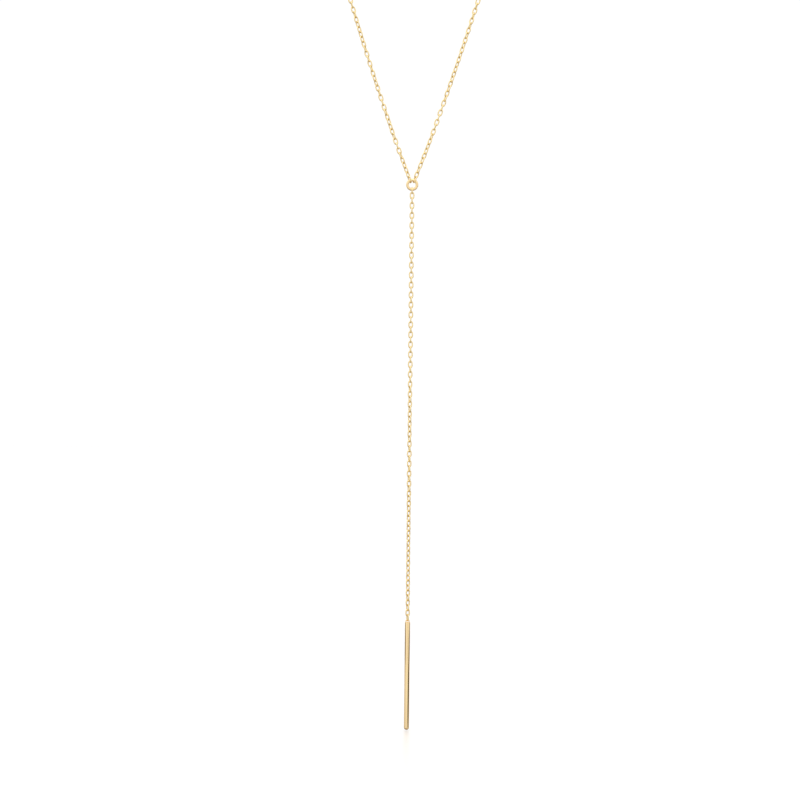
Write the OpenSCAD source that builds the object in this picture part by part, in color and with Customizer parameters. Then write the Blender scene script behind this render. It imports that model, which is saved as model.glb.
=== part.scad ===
// Y necklace: a fine cable chain round the neck, a small closed ring at the front,
// a long drop chain below the ring and a slim round bar at the chain's end.
// Sizes are in millimetres. The origin is at the nape, +Z is up and the front faces -Y.

/* [Chain] */
// Thickness of the links' wire
link_wire = 0.3; // [0.24:0.01:0.3]
// Outer width of a link
link_w = 1.14; // [1.12:0.01:1.2]
// Distance from one link to the next
link_pitch = 1.155; // [1.1:0.005:1.2]
// Clear space between two neighbouring links
link_gap = 0.1; // [0.1:0.01:0.12]
// Links in the drop chain, an odd number, so that its first and last link stand front to back
drop_links = 87; // [61:2:91]

/* [Junction ring] */
// Outer diameter of the ring
ring_d = 2.86; // [2.6:0.02:3.2]
// Width of the ring's flattened wire, seen from the front
ring_wire = 0.66; // [0.5:0.01:0.7]
// Thickness of the ring from front to back
ring_depth = 0.44; // [0.3:0.01:0.44]
// Angle from the ring's top to where each neck chain hangs on it
hang_angle = 27; // [22:1:40]

/* [Bar] */
// Length of the bar without its eye
bar_len = 25.1; // [15:0.1:35]
// Diameter of the bar
bar_d = 1.2; // [1:0.05:1.6]
// Chamfer round the bar's top edge
bar_chamfer = 0.06; // [0.02:0.01:0.1]
// Outer diameter of the eye on top of the bar
eye_d = 1; // [0.98:0.01:1.1]
// Thickness of the eye's wire
eye_wire = 0.24; // [0.2:0.01:0.24]
// How deep the eye is soldered into the bar
eye_sink = 0.31; // [0.1:0.01:0.31]

/* [Clasp] */
// Outer diameter of the clasp's ring
clasp_d = 5; // [4.5:0.1:6]
// Thickness of the clasp's ring
clasp_wire = 0.9; // [0.8:0.05:1]
// Outer diameter of the small eye on the clasp
clasp_eye_d = 1.6; // [1.5:0.05:1.8]
// Thickness of the eye's wire and of the end ring that the clasp closes on
end_wire = 0.4; // [0.35:0.01:0.42]

/* [Hidden] */
gold = [0.93, 0.78, 0.5];
$fn = 32;

// Clear space between a link and the wire that it hangs on
seat_gap = 0.05;
// How far the clasp's ring and eye sink into each other
solder = 0.1;

// Links, measured to the middle of their wire
link_r = (link_w - link_wire) / 2;
link_half = (link_pitch + link_wire + link_gap) / 2;
link_straight = 2 * (link_half - link_r);

// Place of the junction ring: the V and the drop hang in one upright plane
front_y = -94;
ring_z = -166;
ring_r = (ring_d - ring_wire) / 2;

// Heights along the drop
drop_top_z = ring_z - ring_r + (ring_wire + link_wire) / 2 + seat_gap;
drop_first_z = drop_top_z - link_half;
swing_z = drop_first_z - (drop_links - 1) * link_pitch - link_half;
eye_r = (eye_d - eye_wire) / 2;
eye_z = swing_z - (eye_r - (eye_wire + link_wire) / 2 - seat_gap);
bar_top_z = eye_z - eye_d / 2 + eye_sink;
bar_r = bar_d / 2;

// Clasp, its eye on the left and the end ring that it closes on at the right
clasp_r = (clasp_d - clasp_wire) / 2;
clasp_eye_r = (clasp_eye_d - end_wire) / 2;
clasp_eye_x = clasp_d / 2 + clasp_eye_d / 2 - solder;
neck_end_x = clasp_eye_x + clasp_eye_r;
end_ring_inner_x = clasp_r - (clasp_wire + end_wire) / 2 - seat_gap;
end_ring_r = (neck_end_x - end_ring_inner_x) / 2;
end_ring_x = (neck_end_x + end_ring_inner_x) / 2;

// Right half of the neck chain, from the junction ring up and round to the clasp
neck_route = [
    [ring_r * sin(hang_angle), front_y, ring_z + ring_r * cos(hang_angle)],
    [5, -94, -153],
    [11.6, -94, -133.4],
    [20.4, -94, -105],
    [29, -91, -76],
    [37, -82, -48],
    [43.4, -66, -25],
    [46.6, -45, -10],
    [41.4, -22.6, -3],
    [28, -7, -1],
    [14, -0.8, 0],
    [neck_end_x, 0, 0]
];
tube_d = 1.2;
tube_sides = 8;
tube_rings = 40;
// Where the solid tube starts, beyond the wire that the chain's end loop holds
tube_start = 0.6;
loop_embed = 0.3;

// The route's points with one more beyond each end
function knot(p, i) =
    i < 0 ? 2 * p[0] - p[1] :
    i >= len(p) ? 2 * p[len(p) - 1] - p[len(p) - 2] :
    p[i];

// Catmull-Rom curve through the points: u counts the points passed
function span(p, u) = min(floor(u), len(p) - 2);
function on_route(p, u) =
    let (i = span(p, u), t = u - i)
    let (a = knot(p, i - 1), b = knot(p, i), c = knot(p, i + 1), d = knot(p, i + 2))
    b + (c - a) * t / 2 + (2 * a - 5 * b + 4 * c - d) * t * t / 2
      + (3 * b - a - 3 * c + d) * t * t * t / 2;
function heading(p, u) =
    let (i = span(p, u), t = u - i)
    let (a = knot(p, i - 1), b = knot(p, i), c = knot(p, i + 1), d = knot(p, i + 2))
    unit((c - a) / 2 + (2 * a - 5 * b + 4 * c - d) * t + (3 * b - a - 3 * c + d) * t * t * 1.5);
function unit(v) = v / norm(v);

// One ring of a tube's points round the route, with corners to its sides and above it
function tube_ring(p, u) =
    let (along = heading(p, u), side = unit(cross(along, [0, 0, 1])), up = cross(side, along))
    [for (k = [0 : tube_sides - 1])
        let (turn = 360 * k / tube_sides)
        on_route(p, u) + tube_d / 2 * (cos(turn) * side + sin(turn) * up)];

// A torus that stands facing the front
module wire_ring(middle_r, wire) {
    rotate([90, 0, 0]) rotate_extrude() translate([middle_r, 0]) circle(d = wire);
}

// The round end of a link, bulging up
module link_end() {
    rotate([90, 0, 0]) rotate_extrude(angle = 180) translate([link_r, 0]) circle(d = link_wire);
}

// One link that stands facing the front, with its middle at the origin
module link() {
    for (turn = [0, 1])
        mirror([0, 0, turn]) translate([0, 0, link_straight / 2]) link_end();
    for (side = [-1, 1])
        translate([side * link_r, 0, -link_straight / 2]) cylinder(d = link_wire, h = link_straight);
}

// The open link at a tube's end: it holds the wire at the origin and runs up into the tube
module end_loop(held_wire) {
    arc_z = link_r - (held_wire + link_wire) / 2 - seat_gap;
    translate([0, 0, arc_z]) mirror([0, 0, 1]) link_end();
    for (side = [-1, 1])
        translate([side * link_r, 0, arc_z])
            cylinder(d = link_wire, h = tube_start + loop_embed - arc_z);
}

// Turns +Z to the direction v
module point_along(v) {
    rotate([0, acos(v.z / norm(v)), atan2(v.y, v.x)]) children();
}

// Solid tube along the right half of the neck chain, as thick as the links are wide
module neck_tube() {
    last = len(neck_route) - 1;
    from = tube_start / norm(neck_route[1] - neck_route[0]);
    to = last - tube_start / norm(neck_route[last] - neck_route[last - 1]);
    points = [for (i = [0 : tube_rings - 1])
        each tube_ring(neck_route, from + (to - from) * i / (tube_rings - 1))];
    walls = [for (i = [0 : tube_rings - 2]) for (k = [0 : tube_sides - 1])
        let (a = i * tube_sides + k, b = i * tube_sides + (k + 1) % tube_sides)
        each [[a, a + tube_sides, b], [b, a + tube_sides, b + tube_sides]]];
    start_cap = [for (k = [0 : tube_sides - 1]) k];
    end_cap = [for (k = [tube_sides - 1 : -1 : 0]) (tube_rings - 1) * tube_sides + k];
    polyhedron(points, concat(walls, [start_cap, end_cap]));
}

// The junction ring, of flattened wire with round edges
module flat_ring() {
    rotate([90, 0, 0]) rotate_extrude() translate([ring_r, 0]) {
        square([ring_wire - ring_depth, ring_depth], center = true);
        for (side = [-1, 1])
            translate([side * (ring_wire - ring_depth) / 2, 0]) circle(d = ring_depth);
    }
}

// Half of the neck chain; clasp_turn turns its last link to suit what it hangs on
module neck_half(clasp_turn) {
    last = len(neck_route) - 1;
    neck_tube();
    translate(neck_route[0]) point_along(neck_route[1] - neck_route[0])
        rotate([0, 0, 90]) end_loop(ring_wire);
    translate(neck_route[last]) point_along(neck_route[last - 1] - neck_route[last])
        rotate([0, 0, clasp_turn]) end_loop(end_wire);
}

module neck_chain_left() {
    color(gold) mirror([1, 0, 0]) neck_half(90);
}

module neck_chain_right() {
    color(gold) neck_half(0);
}

module junction_ring() {
    color(gold) translate([0, front_y, ring_z]) flat_ring();
}

module drop_chain() {
    color(gold)
        for (i = [0 : drop_links - 1])
            translate([0, front_y, drop_first_z - i * link_pitch])
                rotate([0, 0, i % 2 == 0 ? 90 : 0]) link();
}

// Round bar with a domed lower end, and the eye soldered on its top
module bar_pendant() {
    color(gold) translate([0, front_y, 0]) {
        translate([0, 0, bar_top_z - bar_len]) {
            rotate_extrude()
                polygon([[0, bar_r], [bar_r, bar_r], [bar_r, bar_len - bar_chamfer],
                         [bar_r - bar_chamfer, bar_len], [0, bar_len]]);
            translate([0, 0, bar_r]) rotate_extrude() intersection() {
                circle(r = bar_r);
                translate([0, -bar_r]) square(bar_r);
            }
        }
        translate([0, 0, eye_z]) wire_ring(eye_r, eye_wire);
    }
}

module clasp() {
    color(gold) {
        wire_ring(clasp_r, clasp_wire);
        translate([-clasp_eye_x, 0, 0]) wire_ring(clasp_eye_r, end_wire);
    }
}

module clasp_end_ring() {
    color(gold) translate([end_ring_x, 0, 0]) rotate([90, 0, 0]) wire_ring(end_ring_r, end_wire);
}

neck_chain_left();
neck_chain_right();
junction_ring();
drop_chain();
bar_pendant();
clasp();
clasp_end_ring();
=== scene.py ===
"""Y necklace: a fine gold cable chain, the closed ring that joins it, the long drop and the slim bar.

Every length is in metres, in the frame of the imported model: +Z is up, the front faces -Y and the
origin is at the nape.
"""
import math

import bpy
import numpy as np
from bpy.props import FloatProperty, FloatVectorProperty, IntProperty, PointerProperty
from mathutils import Matrix, Vector


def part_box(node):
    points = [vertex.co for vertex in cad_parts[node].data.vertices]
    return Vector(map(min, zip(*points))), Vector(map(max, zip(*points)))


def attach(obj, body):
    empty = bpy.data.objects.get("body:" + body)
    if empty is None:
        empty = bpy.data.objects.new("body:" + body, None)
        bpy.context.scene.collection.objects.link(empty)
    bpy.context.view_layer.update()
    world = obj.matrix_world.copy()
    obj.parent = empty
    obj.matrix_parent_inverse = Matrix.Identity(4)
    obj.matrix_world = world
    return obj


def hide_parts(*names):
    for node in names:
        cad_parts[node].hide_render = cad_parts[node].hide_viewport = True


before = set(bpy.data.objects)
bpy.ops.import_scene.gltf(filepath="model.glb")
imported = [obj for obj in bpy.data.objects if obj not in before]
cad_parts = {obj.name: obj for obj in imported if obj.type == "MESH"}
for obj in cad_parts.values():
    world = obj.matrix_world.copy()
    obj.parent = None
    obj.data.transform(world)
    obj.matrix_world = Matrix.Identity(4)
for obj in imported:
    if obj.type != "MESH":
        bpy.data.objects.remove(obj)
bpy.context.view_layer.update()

bl_info = {
    "name": "Y Necklace",
    "version": (1, 0, 0),
    "blender": (4, 5, 0),
    "location": "View3D > Sidebar > Necklace",
    "description": "Links, solders and lights a fine cable chain Y necklace with a slim bar",
    "category": "Add Mesh",
}

MM = 0.001
FRONT = np.array((0.0, -1.0, 0.0))
ACROSS = np.array((1.0, 0.0, 0.0))
UP = np.array((0.0, 0.0, 1.0))

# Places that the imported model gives
RING_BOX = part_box("junction_ring")
BAR_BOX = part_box("bar_pendant")
DROP_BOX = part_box("drop_chain")
CLASP_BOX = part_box("clasp")
END_RING_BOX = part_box("clasp_end_ring")
RING_CENTRE = np.array((RING_BOX[0] + RING_BOX[1]) / 2)
TIP_Z = BAR_BOX[0].z
RING_DEPTH = RING_BOX[1].y - RING_BOX[0].y
BAR_WIDTH = BAR_BOX[1].x - BAR_BOX[0].x
LINK_WIDTH = DROP_BOX[1].x - DROP_BOX[0].x

# Right half of the neck chain between the junction ring and the clasp
NECK_ROUTE = (
    (0.0050, -0.0940, -0.1530),
    (0.0116, -0.0940, -0.1334),
    (0.0204, -0.0940, -0.1050),
    (0.0290, -0.0910, -0.0760),
    (0.0370, -0.0820, -0.0480),
    (0.0434, -0.0660, -0.0250),
    (0.0466, -0.0450, -0.0100),
    (0.0414, -0.0226, -0.0030),
    (0.0280, -0.0070, -0.0010),
    (0.0140, -0.0008, 0.0000),
)

# Brightness of the studio, as the metal reflects it, in stops of position and level. OPEN_ROOM runs from
# the front (0) to straight behind (1), SKY from below (0) to above (1). The two for the bar run round the
# horizon, from behind by the left (0), the front (0.5) and the right to behind again (1), and hold its
# dark edge lines. Each shows in its band of heights just below eye level.
OPEN_ROOM = ((0.0, 0.92), (0.18, 1.05), (0.35, 1.0), (0.5, 0.85), (0.7, 0.7), (0.88, 0.64), (0.93, 1.06),
             (1.0, 1.06))
SKY = ((0.0, 0.5), (0.25, 0.5), (0.38, 0.86), (0.45, 1.0), (0.52, 0.98), (0.58, 0.96), (0.65, 1.1),
       (0.8, 1.05), (1.0, 0.95))
UPPER_BAR = ((0.0, 0.8), (0.11, 0.6), (0.15, 0.25), (0.28, 0.25), (0.31, 0.7), (0.34, 1.05), (0.39, 1.05),
             (0.44, 0.93), (0.5, 0.88), (0.56, 0.88), (0.63, 0.85), (0.66, 0.8), (0.69, 0.3), (0.71, 0.25),
             (0.85, 0.25), (0.89, 0.6), (1.0, 0.8))
UPPER_BAND = ((0.39, 0.0), (0.405, 1.0), (0.465, 1.0), (0.477, 0.0))
LOWER_BAR = ((0.0, 0.6), (0.12, 0.8), (0.22, 0.72), (0.3, 0.85), (0.37, 0.98), (0.44, 1.0), (0.5, 1.08),
             (0.56, 1.05), (0.595, 0.95), (0.62, 0.6), (0.64, 0.0), (0.76, 0.0), (0.785, 0.6), (0.82, 0.9),
             (0.92, 0.9), (1.0, 0.6))
LOWER_BAND = ((0.39, 0.0), (0.405, 1.0), (0.443, 1.0), (0.4475, 0.0))
# More light from the lower right and the upper left: the position is x times z, from -1/2 (0) to 1/2 (1)
LEAN = ((0.1, 1.22), (0.4, 0.98))
# Tint of what is dark
WARM = (1.0, 0.78, 0.66)

# Width and height of the photograph
PHOTO_PIXELS = 800

# Floor and backdrop
FLOOR_RADIUS = 2.9
FLOOR_SIDES = 64
FLOOR_GREY = (0.75, 0.75, 0.75)
BACKDROP_RADIUS = 3.0

# The gold's patches, drawn lines and grain: noise scales for each metre, and the depth of its relief
PATCH_SCALE = 900.0
GRAIN_SCALE = 14000.0
CHAIN_LINES = (9000.0, 9000.0, 9000.0)
POLISHED_LINES = (16000.0, 16000.0, 500.0)
RELIEF_DEPTH = 0.006 * MM

# How the chains are turned about their own line: millimetres from the ring, then the turn in degrees
LEFT_TWIST = ((0, 30), (1.5, 45), (5, 50), (7, 80), (9.5, 92), (11.5, 120), (14, 135), (16.5, 150),
              (19, 168), (21.5, 195), (25, 222), (27, 242), (29, 252), (33, 240), (35, 225), (38.5, 214),
              (41, 198), (45, 182))
RIGHT_TWIST = ((0, -30), (6.5, -37), (9.5, -52), (12, -78), (14, -90), (17, -92), (19, -110), (21.5, -121),
               (26.5, -132), (29, -142), (34, -149), (38.5, -156), (41, -166), (45, -178))
DROP_TWIST = ((0, 0), (40, 6), (44, 14), (49, 27), (55, 37), (60.5, 16), (66.5, 23), (72, 36), (78, 47),
              (90, 44), (95, 32), (98, 24), (101, 20))


class ChainSizes(bpy.types.PropertyGroup):
    wire: FloatProperty(
        name="Wire", description="Thickness of the links' wire",
        default=0.3 * MM, min=0.22 * MM, max=0.32 * MM, precision=5, unit="LENGTH")
    width: FloatProperty(
        name="Link Width", description="Outer width of a link",
        default=LINK_WIDTH, min=1.0 * MM, max=1.3 * MM, precision=5, unit="LENGTH")
    neck_pitch: FloatProperty(
        name="Neck Pitch", description="Distance from one link to the next in the neck chain",
        default=1.1825 * MM, min=1.1 * MM, max=1.25 * MM, precision=6, unit="LENGTH")
    drop_pitch: FloatProperty(
        name="Drop Pitch", description="Distance from one link to the next in the drop",
        default=1.155 * MM, min=1.1 * MM, max=1.2 * MM, precision=6, unit="LENGTH")
    squareness: FloatProperty(
        name="Squareness", description="Form of a link: 2 is an ellipse, more has straighter sides",
        default=2.6, min=2.0, max=4.0)
    wobble: FloatProperty(
        name="Wobble", description="How far single links turn away from an even chain",
        default=math.radians(5), min=0, max=math.radians(12), subtype="ANGLE")
    steps: IntProperty(name="Steps", description="Steps along a link's wire", default=32, min=12, max=40)
    sides: IntProperty(name="Sides", description="Sides of a link's wire", default=12, min=6, max=16)


class FittingSizes(bpy.types.PropertyGroup):
    ring_wire: FloatProperty(
        name="Ring Wire", description="Width of the junction ring's flattened wire, seen from the front",
        default=0.66 * MM, min=0.45 * MM, max=0.8 * MM, precision=5, unit="LENGTH")
    ring_depth: FloatProperty(
        name="Ring Depth", description="Thickness of the junction ring from front to back",
        default=RING_DEPTH, min=0.3 * MM, max=0.5 * MM, precision=5, unit="LENGTH")
    hang_angle: FloatProperty(
        name="Hang Angle", description="Angle from the ring's top to where a neck chain hangs on it",
        default=math.radians(27), min=math.radians(20), max=math.radians(40), subtype="ANGLE")
    bar_width: FloatProperty(
        name="Bar Width", description="Diameter of the bar",
        default=BAR_WIDTH, min=0.8 * MM, max=1.6 * MM, precision=5, unit="LENGTH")
    bar_edge: FloatProperty(
        name="Bar Edge", description="Rounding of the bar's top edge",
        default=0.08 * MM, min=0.02 * MM, max=0.2 * MM, precision=5, unit="LENGTH")
    eye_width: FloatProperty(
        name="Eye Width", description="Outer diameter of the eye on the bar",
        default=1.0 * MM, min=0.96 * MM, max=1.1 * MM, precision=5, unit="LENGTH")
    eye_wire: FloatProperty(
        name="Eye Wire", description="Thickness of the wire of the eye on the bar",
        default=0.24 * MM, min=0.2 * MM, max=0.26 * MM, precision=5, unit="LENGTH")
    eye_sink: FloatProperty(
        name="Eye Sink", description="How deep the eye on the bar is soldered into it",
        default=0.31 * MM, min=0.1 * MM, max=0.36 * MM, precision=5, unit="LENGTH")
    clasp_wire: FloatProperty(
        name="Clasp Wire", description="Thickness of the clasp's ring",
        default=0.9 * MM, min=0.8 * MM, max=1.0 * MM, precision=5, unit="LENGTH")
    end_wire: FloatProperty(
        name="End Wire", description="Thickness of the clasp's eye and of the end ring",
        default=0.4 * MM, min=0.35 * MM, max=0.42 * MM, precision=5, unit="LENGTH")
    solder: FloatProperty(
        name="Solder", description="How far the clasp's ring and eye sink into each other",
        default=0.1 * MM, min=0.05 * MM, max=0.15 * MM, precision=5, unit="LENGTH")


class GoldFinish(bpy.types.PropertyGroup):
    chain_colour: FloatVectorProperty(
        name="Chain Gold", description="Colour of the links",
        default=(0.98, 0.805, 0.435), min=0, max=1, size=3, subtype="COLOR")
    polished_colour: FloatVectorProperty(
        name="Polished Gold", description="Colour of the bar, the rings and the clasp",
        default=(0.98, 0.765, 0.43), min=0, max=1, size=3, subtype="COLOR")
    depth: FloatProperty(
        name="Depth", description="How much deeper the colour is in its deepest patches",
        default=0.1, min=0.0, max=0.5, subtype="FACTOR")
    chain_roughness: FloatProperty(
        name="Chain Roughness", description="Roughness of the links", default=0.2, min=0.02, max=0.6)
    polished_roughness: FloatProperty(
        name="Polished Roughness", description="Roughness of the bar, the rings and the clasp",
        default=0.085, min=0.06, max=0.6)
    chain_relief: FloatProperty(
        name="Chain Relief", description="Strength of the fine lines on the links",
        default=0.25, min=0, max=1, subtype="FACTOR")
    polished_relief: FloatProperty(
        name="Polished Relief", description="Strength of the fine lines on the polished parts",
        default=0.08, min=0, max=1, subtype="FACTOR")


class StageSettings(bpy.types.PropertyGroup):
    lens: FloatProperty(name="Lens", description="Focal length of the camera", default=100, min=50, max=200)
    metres_per_pixel: FloatProperty(
        name="Scale", description="Width of one pixel of the photograph at the drop",
        default=0.2326 * MM, min=0.1 * MM, max=0.5 * MM, precision=7, unit="LENGTH")
    roll: FloatProperty(
        name="Roll", description="Roll of the camera",
        default=math.radians(-0.61), min=math.radians(-5), max=math.radians(5), subtype="ANGLE")
    ring_pixel: FloatVectorProperty(
        name="Ring Pixel", description="Where the ring's middle lies in the photograph",
        default=(412.2, 184.8), size=2)
    floor_gap: FloatProperty(
        name="Floor Gap", description="Height of the bar's tip above the floor",
        default=0.2 * MM, min=0.1 * MM, max=50 * MM, precision=5, unit="LENGTH")


def unit(vector):
    """The vector, or each row of them, at length 1."""
    return vector / np.linalg.norm(vector, axis=-1, keepdims=True)


def curve_through(points, steps=24):
    """Dense points of the Catmull-Rom curve through the points."""
    points = np.array(points, float)
    before, after = 2 * points[0] - points[1], 2 * points[-1] - points[-2]
    knots = np.vstack([before, points, after])
    share = np.linspace(0, 1, steps, endpoint=False)[:, None]
    spans = []
    for a, b, c, d in zip(knots, knots[1:], knots[2:], knots[3:]):
        spans.append(b + (c - a) * share / 2 + (2 * a - 5 * b + 4 * c - d) * share ** 2 / 2
                     + (3 * b - a - 3 * c + d) * share ** 3 / 2)
    return np.vstack([*spans, points[-1:]])


def lengths_along(line):
    """Distance of each point of a line from its start."""
    return np.concatenate([[0], np.cumsum(np.linalg.norm(np.diff(line, axis=0), axis=1))])


def at_distances(line, distances):
    """Points of the line at these distances from its start."""
    known = lengths_along(line)
    return np.stack([np.interp(distances, known, line[:, i]) for i in range(3)], axis=1)


def closed_wire(line, outward, depth, section, swell=1.0):
    """Wire along a closed flat line: outward points away from its middle, depth out of its plane.

    section holds the wire's outline as pairs of outward and depth; swell is a factor for each point.
    """
    sides = len(section)
    ring = section[:, 0, None, None] * outward + section[:, 1, None, None] * depth
    points = line + ring * np.reshape(swell, (-1, 1))
    points = points.transpose(1, 0, 2).reshape(-1, 3)
    count = len(line)
    faces = [(i * sides + k, i * sides + (k + 1) % sides,
              (i + 1) % count * sides + (k + 1) % sides, (i + 1) % count * sides + k)
             for i in range(count) for k in range(sides)]
    return points, faces


def seam_swell(share, place, width, height):
    """Factor on a wire's radius that swells at a soldered seam: share runs from 0 to 1 round the loop."""
    away = np.abs((share - place + 0.5) % 1 - 0.5)
    return 1 + height * np.exp(-(away / width) ** 2)


def round_section(wire, sides):
    """Outline of round wire."""
    turn = np.linspace(0, 2 * math.pi, sides, endpoint=False)
    return wire / 2 * np.stack([np.cos(turn), np.sin(turn)], axis=1)


def flat_section(width, depth, sides, squareness=2.1):
    """Outline of wire that is flattened to this depth and still rounded: squareness 2 is an ellipse."""
    turn = np.linspace(0, 2 * math.pi, sides, endpoint=False)
    across, out = np.cos(turn), np.sin(turn)
    bent = [half * np.sign(part) * np.abs(part) ** (2 / squareness)
            for half, part in ((width / 2, across), (depth / 2, out))]
    return np.stack(bent, axis=1)


def round_ring(centre, middle_radius, section, across, up, steps=96, seam=0.25):
    """A closed ring of wire in the plane of across and up, with a faint soldered seam."""
    turn = np.linspace(0, 2 * math.pi, steps, endpoint=False)
    outward = np.cos(turn)[:, None] * across + np.sin(turn)[:, None] * up
    swell = seam_swell(turn / (2 * math.pi), seam, width=0.012, height=0.03)
    return closed_wire(centre + middle_radius * outward, outward, np.cross(up, across), section, swell)


def turned(profile, centre, steps=64):
    """A turned solid about an upright axis: its (radius, height) pairs start and end on the axis."""
    turn = np.linspace(0, 2 * math.pi, steps, endpoint=False)
    circle = np.stack([np.cos(turn), np.sin(turn), np.zeros(steps)], axis=1)
    rings = [centre + radius * circle + height * UP for radius, height in profile[1:-1]]
    poles = [centre + height * UP for _, height in (profile[0], profile[-1])]
    points = np.vstack([*rings, *poles])
    low, high, last = len(points) - 2, len(points) - 1, (len(rings) - 1) * steps
    faces = []
    for k in range(steps):
        after = (k + 1) % steps
        faces += [(i * steps + k, i * steps + after, (i + 1) * steps + after, (i + 1) * steps + k)
                  for i in range(len(rings) - 1)]
        faces += [(low, after, k), (high, last + k, last + after)]
    return points, faces


def new_mesh(name, shell):
    """A smooth mesh with its faces turned outwards."""
    mesh = bpy.data.meshes.new(name)
    mesh.from_pydata(shell[0].tolist(), [], shell[1])
    mesh.validate()
    mesh.shade_smooth()
    return mesh


def soldered(name, shells):
    """One solid from shells that overlap, worked out in millimetres so that the solver stays exact."""
    solids = []
    for index, (points, faces) in enumerate(shells):
        solid = bpy.data.objects.new(f"{name}_{index}", new_mesh(name, (points / MM, faces)))
        bpy.context.scene.collection.objects.link(solid)
        solids.append(solid)
    for other in solids[1:]:
        join = solids[0].modifiers.new("join", "BOOLEAN")
        join.operation, join.solver, join.object = "UNION", "EXACT", other
    view = bpy.context.evaluated_depsgraph_get()
    mesh = bpy.data.meshes.new_from_object(solids[0].evaluated_get(view))
    for solid in solids:
        bpy.data.objects.remove(solid)
    mesh.transform(Matrix.Scale(MM, 4))
    mesh.shade_smooth()
    return mesh


def add_piece(name, mesh, material, body, slot, *nodes):
    """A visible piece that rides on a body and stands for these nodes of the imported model."""
    piece = bpy.data.objects.new(name, mesh)
    bpy.context.scene.collection.objects.link(piece)
    mesh.materials.clear()
    mesh.materials.append(material)
    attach(piece, body)
    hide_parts(*nodes)
    return piece


class Value:
    """A shader socket that takes part in sums: each one adds a Math node."""

    def __init__(self, book, socket):
        self.book = book
        self.socket = socket

    def math(self, operation, *values):
        return self.book.add("ShaderNodeMath", {"operation": operation}, dict(enumerate(values)))

    def __add__(self, other):
        return self.math("ADD", self, other)

    def __sub__(self, other):
        return self.math("SUBTRACT", self, other)

    def __rsub__(self, other):
        return self.math("SUBTRACT", other, self)

    def __mul__(self, other):
        return self.math("MULTIPLY", self, other)

    __radd__ = __add__
    __rmul__ = __mul__


class NodeBook:
    """Adds nodes to one tree."""

    def __init__(self, tree):
        self.tree = tree
        tree.nodes.clear()

    def add(self, kind, settings=None, inputs=None, output=0):
        """A node of this type, with its settings, then the values or links of its sockets."""
        node = self.tree.nodes.new(kind)
        for name, value in (settings or {}).items():
            if name == "stops":
                self.set_stops(node.color_ramp, value)
            else:
                setattr(node, name, value)
        for name, value in (inputs or {}).items():
            if isinstance(value, Value):
                self.tree.links.new(value.socket, node.inputs[name])
            else:
                node.inputs[name].default_value = value
        return Value(self, node.outputs[output]) if node.outputs else node

    def ramp(self, value, stops):
        """Grey level at this value on the line through the stops, each a position and a level."""
        return self.add("ShaderNodeValToRGB", {"stops": stops}, {0: value})

    def mix(self, factor, low, high, blend="MIX"):
        """Colour between low and high."""
        return self.add("ShaderNodeMix", {"data_type": "RGBA", "blend_type": blend},
                        {0: factor, 6: low, 7: high}, output=2)

    @staticmethod
    def set_stops(ramp, stops):
        while len(ramp.elements) < len(stops):
            ramp.elements.new(1)
        for element, (position, level) in zip(ramp.elements, stops):
            element.position = position
            element.color = (level, level, level, 1)


def gold_material(name, colour, depth, roughness, drawn, relief):
    """Gold with faint deeper patches: drawn is the fine lines' scale on each axis, relief their strength."""
    deep = [level * (1 - depth * (1.1 - level)) for level in colour]
    material = bpy.data.materials.new(name)
    material.use_nodes = True
    book = NodeBook(material.node_tree)
    place = book.add("ShaderNodeTexCoord", output="Object")
    patches = book.add("ShaderNodeTexNoise", None, {"Vector": place, "Scale": PATCH_SCALE, "Detail": 2.0})
    stretched = book.add("ShaderNodeMapping", None, {"Vector": place, "Scale": drawn})
    lines = book.add("ShaderNodeTexNoise", None, {"Vector": stretched, "Scale": 1.0, "Detail": 3.0})
    grain = book.add("ShaderNodeTexNoise", None, {"Vector": place, "Scale": GRAIN_SCALE, "Detail": 2.0})
    colour = book.mix(patches * 1.2 - 0.3, (*colour, 1), (*deep, 1))
    height = lines * 0.7 + grain * 0.3
    bump = book.add("ShaderNodeBump", None, {
        "Strength": relief, "Distance": RELIEF_DEPTH, "Height": height})
    dullness = roughness - 0.05 + lines * 0.1
    shader = book.add("ShaderNodeBsdfPrincipled", None, {
        "Base Color": colour, "Metallic": 1.0, "Roughness": dullness, "Normal": bump})
    book.add("ShaderNodeOutputMaterial", None, {"Surface": shader})
    return material


def gold(slot):
    """The gold of one slot, made when it is first asked for.

    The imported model's own plain material has the slot's name, so this one is called a finish.
    """
    name = f"{slot}_finish"
    if name in bpy.data.materials:
        return bpy.data.materials[name]
    finish = bpy.context.scene.necklace_gold
    if slot == "gold_chain":
        return gold_material(name, finish.chain_colour, finish.depth, finish.chain_roughness,
                             CHAIN_LINES, finish.chain_relief)
    return gold_material(name, finish.polished_colour, finish.depth, finish.polished_roughness,
                         POLISHED_LINES, finish.polished_relief)


def link_shell(sizes, reach):
    """One link in the plane of its first and third axis: its wire's middle reaches this far up and down."""
    half_width = (sizes.width - sizes.wire) / 2
    dense = np.linspace(0, 2 * math.pi, 721)
    power = 2 / sizes.squareness
    x = half_width * np.sign(np.cos(dense)) * np.abs(np.cos(dense)) ** power
    z = reach * np.sign(np.sin(dense)) * np.abs(np.sin(dense)) ** power
    oval = np.stack([x, np.zeros_like(x), z], axis=1)
    total = lengths_along(oval)[-1]
    share = np.arange(sizes.steps) / sizes.steps
    line = at_distances(oval, share * total)
    tangent = unit(np.roll(line, -1, axis=0) - np.roll(line, 1, axis=0))
    outward = np.stack([tangent[:, 2], np.zeros(len(line)), -tangent[:, 0]], axis=1)
    section = round_section(sizes.wire, sizes.sides)
    swell = seam_swell(share, 0.0, width=0.03, height=0.06)
    return closed_wire(line, outward, np.array((0.0, 1.0, 0.0)), section, swell)


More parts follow.
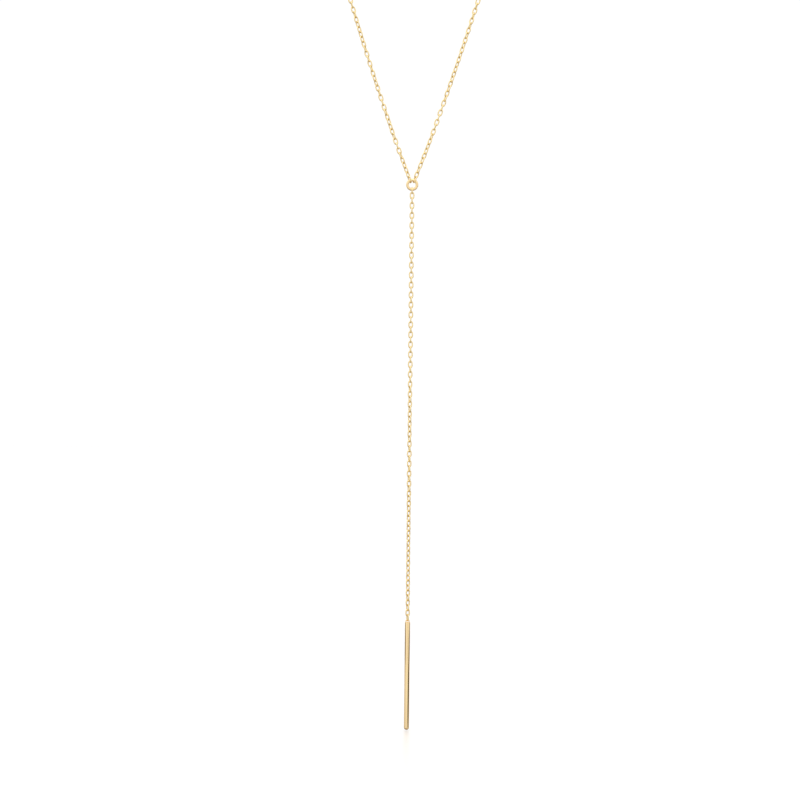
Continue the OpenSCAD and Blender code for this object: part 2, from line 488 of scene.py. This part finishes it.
def linked_chain(link, centres, along, side, up, turns):
    """A copy of the link at each centre, its width turned from side towards up."""
    points, faces = link
    width = np.cos(turns)[:, None] * side + np.sin(turns)[:, None] * up
    depth = np.cross(along, width)
    copies = (centres[:, None, :] + points[None, :, :1] * width[:, None, :]
              + points[None, :, 1:2] * depth[:, None, :] + points[None, :, 2:] * along[:, None, :])
    shift = len(points)
    every_face = [tuple(i * shift + j for j in face) for i in range(len(centres)) for face in faces]
    return copies.reshape(-1, 3), every_face


def chain_turns(distances, twist, last_turn, wobble, seed):
    """Turn of each link: a quarter more than the one before, the chain's own twist, and a small wobble.

    last_turn is the turn that the last link ends at, counted from the chain's side.
    """
    stations = np.array([station for station, _ in twist]) * MM
    turns = np.interp(distances, stations, [turn for _, turn in twist])
    quarters = 90 * np.arange(len(distances))
    miss = (last_turn - quarters[-1] - turns[-1] + 90) % 180 - 90
    hidden = np.clip((distances - stations[-1]) / max(distances[-1] - stations[-1], MM), 0, 1)
    turns = np.radians(quarters + turns + miss * hidden)
    shake = np.random.default_rng(seed).uniform(-wobble, wobble, len(distances))
    shake[[0, -1]] = 0
    return turns + shake


class NECKLACE_OT_neck_chain(bpy.types.Operator):
    """Link both halves of the neck chain, from the junction ring up and round to the clasp"""

    bl_idname = "necklace.neck_chain"
    bl_label = "Neck Chain"
    bl_options = {"REGISTER", "UNDO"}

    def execute(self, context):
        sizes, fittings = context.scene.necklace_chain, context.scene.necklace_fittings
        ring_middle = (RING_BOX[1].x - RING_BOX[0].x - fittings.ring_wire) / 2
        lean = fittings.hang_angle
        start = RING_CENTRE + ring_middle * (math.sin(lean) * ACROSS + math.cos(lean) * UP)
        end = np.array((END_RING_BOX[1].x - fittings.end_wire / 2, 0, 0))
        route = curve_through([start, *NECK_ROUTE, end])
        length = lengths_along(route)[-1]
        held = [(fittings.ring_wire + sizes.wire) / 2, (fittings.end_wire + sizes.wire) / 2]
        count = round(length / sizes.neck_pitch)
        pitch = (length - sizes.wire + sum(held)) / count
        reach = (pitch + sizes.wire) / 2
        distances = reach - held[0] + pitch * np.arange(count)
        centres = at_distances(route, distances)
        along = unit(at_distances(route, distances + MM / 2) - at_distances(route, distances - MM / 2))
        side = unit(np.cross(along, UP))
        up = np.cross(side, along)
        link = link_shell(sizes, reach)
        halves = (("right", 1, RIGHT_TWIST, 90, 11), ("left", -1, LEFT_TWIST, 0, 12))
        for name, mirror, twist, last_turn, seed in halves:
            turns = chain_turns(distances, twist, last_turn, sizes.wobble, seed)
            points, faces = linked_chain(link, centres, along, side, up, turns)
            if mirror < 0:
                points = points * (-1, 1, 1)
                faces = [face[::-1] for face in faces]
            mesh = new_mesh(f"neck_links_{name}", (points, faces))
            add_piece(f"neck_links_{name}", mesh, gold("gold_chain"), "necklace", "gold_chain",
                      f"neck_chain_{name}")
        return {"FINISHED"}


class NECKLACE_OT_drop_chain(bpy.types.Operator):
    """Link the drop chain, from the junction ring down to the eye of the bar"""

    bl_idname = "necklace.drop_chain"
    bl_label = "Drop Chain"
    bl_options = {"REGISTER", "UNDO"}

    def execute(self, context):
        sizes, fittings = context.scene.necklace_chain, context.scene.necklace_fittings
        reach = (sizes.drop_pitch + sizes.wire) / 2
        ring_bottom = RING_BOX[0].z + fittings.ring_wire / 2
        first = ring_bottom + (fittings.ring_wire + sizes.wire) / 2 - reach
        count = round((DROP_BOX[1].z - DROP_BOX[0].z) / sizes.drop_pitch - 0.5)
        drop = sizes.drop_pitch * np.arange(count)
        centres = np.array((RING_CENTRE[0], RING_CENTRE[1], first)) - drop[:, None] * UP
        along = np.tile(-UP, (count, 1))
        turns = chain_turns(drop, DROP_TWIST, 0, sizes.wobble, 13)
        shell = linked_chain(link_shell(sizes, reach), centres, along, FRONT, ACROSS, turns)
        add_piece("drop_links", new_mesh("drop_links", shell), gold("gold_chain"), "necklace",
                  "gold_chain", "drop_chain")
        return {"FINISHED"}


class NECKLACE_OT_junction_ring(bpy.types.Operator):
    """Form the small closed ring that joins the neck chain to the drop"""

    bl_idname = "necklace.junction_ring"
    bl_label = "Junction Ring"
    bl_options = {"REGISTER", "UNDO"}

    def execute(self, context):
        sizes = context.scene.necklace_fittings
        middle = (RING_BOX[1].x - RING_BOX[0].x - sizes.ring_wire) / 2
        section = flat_section(sizes.ring_wire, sizes.ring_depth, 32)
        shell = round_ring(RING_CENTRE, middle, section, ACROSS, UP, seam=0.04)
        add_piece("closed_ring", new_mesh("closed_ring", shell), gold("gold_polished"), "necklace",
                  "gold_polished", "junction_ring")
        return {"FINISHED"}


class NECKLACE_OT_bar(bpy.types.Operator):
    """Turn the slim bar with its domed end, and solder the eye on its top"""

    bl_idname = "necklace.bar"
    bl_label = "Bar"
    bl_options = {"REGISTER", "UNDO"}

    def execute(self, context):
        sizes = context.scene.necklace_fittings
        radius, edge = sizes.bar_width / 2, sizes.bar_edge
        axis = np.array((RING_CENTRE[0], RING_CENTRE[1], 0))
        eye_z = BAR_BOX[1].z - sizes.eye_width / 2
        top = eye_z - sizes.eye_width / 2 + sizes.eye_sink
        quarter = np.linspace(0, math.pi / 2, 13)
        dome = [(radius * math.sin(a), TIP_Z + radius * (1 - math.cos(a))) for a in quarter]
        rim = [(radius - edge * (1 - math.cos(a)), top - edge * (1 - math.sin(a))) for a in quarter]
        bar = turned([*dome, *rim, (0, top)], axis)
        eye_middle = (sizes.eye_width - sizes.eye_wire) / 2
        eye_section = round_section(sizes.eye_wire, 20)
        eye = round_ring(axis + eye_z * UP, eye_middle, eye_section, ACROSS, UP, steps=64)
        # Fillet of solder round the eye's foot: its radius and rise in millimetres, and how it narrows
        wide, rise, narrowing, sunk = 0.34, 0.08, 0.55, 0.05 * MM
        foot = [(wide * (1 - narrowing * math.sin(a)) * MM, top + rise * (1 - math.cos(a)) * MM)
                for a in quarter]
        fillet = turned([(0, top - sunk), (foot[0][0], top - sunk), *foot, (0, foot[-1][1])], axis)
        mesh = soldered("bar_with_eye", [bar, eye, fillet])
        add_piece("bar_with_eye", mesh, gold("gold_polished"), "bar", "gold_polished", "bar_pendant")
        return {"FINISHED"}


class NECKLACE_OT_clasp(bpy.types.Operator):
    """Form the plain clasp at the nape and the ring that it closes on"""

    bl_idname = "necklace.clasp"
    bl_label = "Clasp"
    bl_options = {"REGISTER", "UNDO"}

    def execute(self, context):
        sizes = context.scene.necklace_fittings
        width = CLASP_BOX[1].z - CLASP_BOX[0].z
        section = round_section(sizes.clasp_wire, 24)
        ring = round_ring(0 * UP, (width - sizes.clasp_wire) / 2, section, ACROSS, UP)
        end_section = round_section(sizes.end_wire, 20)
        eye_width = CLASP_BOX[1].x - CLASP_BOX[0].x - width + sizes.solder
        eye_middle = (eye_width - sizes.end_wire) / 2
        eye_place = (CLASP_BOX[0].x + eye_width / 2) * ACROSS
        eye = round_ring(eye_place, eye_middle, end_section, ACROSS, UP, steps=64)
        add_piece("clasp_with_eye", soldered("clasp_with_eye", [ring, eye]), gold("gold_polished"),
                  "necklace", "gold_polished", "clasp")
        low, high = END_RING_BOX
        middle = (high.x - low.x - sizes.end_wire) / 2
        end_ring = round_ring((low.x + high.x) / 2 * ACROSS, middle, end_section, ACROSS, FRONT)
        add_piece("end_ring", new_mesh("end_ring", end_ring), gold("gold_polished"), "necklace",
                  "gold_polished", "clasp_end_ring")
        return {"FINISHED"}


def softbox(name, centre, target, width, height, brightness):
    """A soft rectangular light whose face has this brightness."""
    light = bpy.data.lights.new(name, "AREA")
    light.shape, light.size, light.size_y = "RECTANGLE", width, height
    light.energy = brightness * math.pi * width * height
    box = bpy.data.objects.new(name, light)
    box.location = centre
    box.rotation_euler = (Vector(target) - Vector(centre)).to_track_quat("-Z", "Y").to_euler()
    box.visible_camera = False
    bpy.context.scene.collection.objects.link(box)


def back_light(name, towards, strength, spread):
    """Soft light that falls in this direction everywhere: it casts shadows, and the metal doesn't show it."""
    light = bpy.data.lights.new(name, "SUN")
    light.energy = strength
    light.angle = spread
    lamp = bpy.data.objects.new(name, light)
    lamp.rotation_euler = towards.to_track_quat("-Z", "Y").to_euler()
    lamp.visible_glossy = False
    bpy.context.scene.collection.objects.link(lamp)


def plain_surface(name, mesh, colour, glow, roughness=0.45, ior=1.5):
    """A matt stage surface that also glows by itself."""
    surface = bpy.data.objects.new(name, mesh)
    bpy.context.scene.collection.objects.link(surface)
    material = bpy.data.materials.new(name)
    material.use_nodes = True
    book = NodeBook(material.node_tree)
    shader = book.add("ShaderNodeBsdfPrincipled", None, {
        "Base Color": (*colour, 1), "Roughness": roughness, "IOR": ior,
        "Emission Color": (1, 1, 1, 1), "Emission Strength": glow})
    book.add("ShaderNodeOutputMaterial", None, {"Surface": shader})
    mesh.materials.append(material)
    return surface


class NECKLACE_OT_stage(bpy.types.Operator):
    """Set the white floor and backdrop, the soft studio light and the camera"""

    bl_idname = "necklace.stage"
    bl_label = "Stage"
    bl_options = {"REGISTER", "UNDO"}

    def execute(self, context):
        settings = context.scene.necklace_stage
        self.set_surfaces(settings)
        self.set_lights(context.scene)
        self.set_camera(context.scene, settings)
        return {"FINISHED"}

    def set_surfaces(self, settings):
        floor_z = TIP_Z - settings.floor_gap
        turn = np.linspace(0, 2 * math.pi, FLOOR_SIDES, endpoint=False)
        rim = np.column_stack([FLOOR_RADIUS * np.cos(turn), FLOOR_RADIUS * np.sin(turn),
                               np.full(FLOOR_SIDES, floor_z)])
        disc = new_mesh("floor", (rim, [tuple(range(FLOOR_SIDES))]))
        floor = plain_surface("floor", disc, FLOOR_GREY, glow=0.09, roughness=0.33, ior=1.9)
        floor.visible_glossy = False
        turn = np.linspace(-math.pi / 2, math.pi / 2, 25)
        ball = [(BACKDROP_RADIUS * math.cos(a), BACKDROP_RADIUS * math.sin(a)) for a in turn]
        shell = new_mesh("backdrop", turned(ball, 0 * UP))
        backdrop = plain_surface("backdrop", shell, (0, 0, 0), glow=1.0)
        backdrop.visible_diffuse = False
        backdrop.visible_glossy = False
        backdrop.visible_shadow = False

    def set_lights(self, scene):
        world = bpy.data.worlds.new("studio")
        world.use_nodes = True
        scene.world = world
        book = NodeBook(world.node_tree)
        way = book.add("ShaderNodeTexCoord", output="Generated")
        x, y, z = (book.add("ShaderNodeSeparateXYZ", None, {0: way}, output=axis) for axis in "XYZ")
        depth, height = y * 0.5 + 0.5, z * 0.5 + 0.5
        bearing = book.add("ShaderNodeMath", {"operation": "ARCTAN2"}, {0: x, 1: y * -1.0})
        around = bearing * (0.5 / math.pi) + 0.5
        open_room = book.ramp(depth, OPEN_ROOM)
        above_bar = book.ramp(around, UPPER_BAR)
        below_bar = book.ramp(around, LOWER_BAR)
        sides = book.mix(book.ramp(height, UPPER_BAND), open_room, above_bar)
        sides = book.mix(book.ramp(height, LOWER_BAND), sides, below_bar)
        level = book.mix(1.0, sides, book.ramp(height, SKY), "MULTIPLY")
        level = book.mix(1.0, level, book.ramp(x * z + 0.5, LEAN), "MULTIPLY")
        tint = book.mix(level, (*WARM, 1), (1, 1, 1, 1))
        colour = book.mix(1.0, level, tint, "MULTIPLY")
        glow = book.add("ShaderNodeBackground", None, {"Color": colour, "Strength": 1.0})
        book.add("ShaderNodeOutputWorld", None, {"Surface": glow})
        middle = RING_CENTRE - 0.05 * UP
        softbox("overhead", middle + (0, -0.35, 0.8), middle, width=0.4, height=0.4, brightness=2.0)
        back_light("back_light", Vector((0, -0.35, -0.8)), strength=0.85, spread=math.radians(25))

    def set_camera(self, scene, settings):
        camera = bpy.data.cameras.new("camera")
        camera.lens = settings.lens
        camera.clip_start = 0.01
        holder = bpy.data.objects.new("camera", camera)
        scene.collection.objects.link(holder)
        frame_width = PHOTO_PIXELS * settings.metres_per_pixel
        distance = frame_width * settings.lens / camera.sensor_width
        turned_axes = Matrix.Rotation(settings.roll, 4, "Y") @ Matrix.Rotation(math.pi / 2, 4, "X")
        right, up = turned_axes.col[0].xyz, turned_axes.col[1].xyz
        x, y = settings.ring_pixel
        half = PHOTO_PIXELS / 2
        centre = (Vector(RING_CENTRE) - right * (x - half) * settings.metres_per_pixel
                  - up * (half - y) * settings.metres_per_pixel)
        place = centre + Vector(FRONT) * distance
        holder.matrix_world = Matrix.Translation(place) @ turned_axes
        scene.camera = holder
        scene.view_settings.view_transform = "Standard"


class NECKLACE_PT_panel(bpy.types.Panel):
    """Lists the necklace's pieces and their sizes"""

    bl_idname = "NECKLACE_PT_panel"
    bl_label = "Y Necklace"
    bl_space_type = "VIEW_3D"
    bl_region_type = "UI"
    bl_category = "Necklace"

    def draw(self, context):
        for operator in OPERATORS:
            self.layout.operator(operator.bl_idname)
        for owner in GROUPS:
            group = getattr(context.scene, owner)
            for name in group.bl_rna.properties.keys():
                if name not in ("rna_type", "name"):
                    self.layout.prop(group, name)


GROUPS = {
    "necklace_chain": ChainSizes,
    "necklace_fittings": FittingSizes,
    "necklace_gold": GoldFinish,
    "necklace_stage": StageSettings,
}
OPERATORS = (
    NECKLACE_OT_stage,
    NECKLACE_OT_neck_chain,
    NECKLACE_OT_drop_chain,
    NECKLACE_OT_junction_ring,
    NECKLACE_OT_bar,
    NECKLACE_OT_clasp,
)


def register():
    for owner, group in GROUPS.items():
        bpy.utils.register_class(group)
        setattr(bpy.types.Scene, owner, PointerProperty(type=group))
    for kind in (*OPERATORS, NECKLACE_PT_panel):
        bpy.utils.register_class(kind)


def unregister():
    for kind in (NECKLACE_PT_panel, *reversed(OPERATORS)):
        bpy.utils.unregister_class(kind)
    for owner, group in GROUPS.items():
        delattr(bpy.types.Scene, owner)
        bpy.utils.unregister_class(group)


def main():
    register()
    bpy.ops.necklace.stage()
    bpy.ops.necklace.neck_chain()
    bpy.ops.necklace.drop_chain()
    bpy.ops.necklace.junction_ring()
    bpy.ops.necklace.bar()
    bpy.ops.necklace.clasp()


if __name__ == "__main__":
    main()
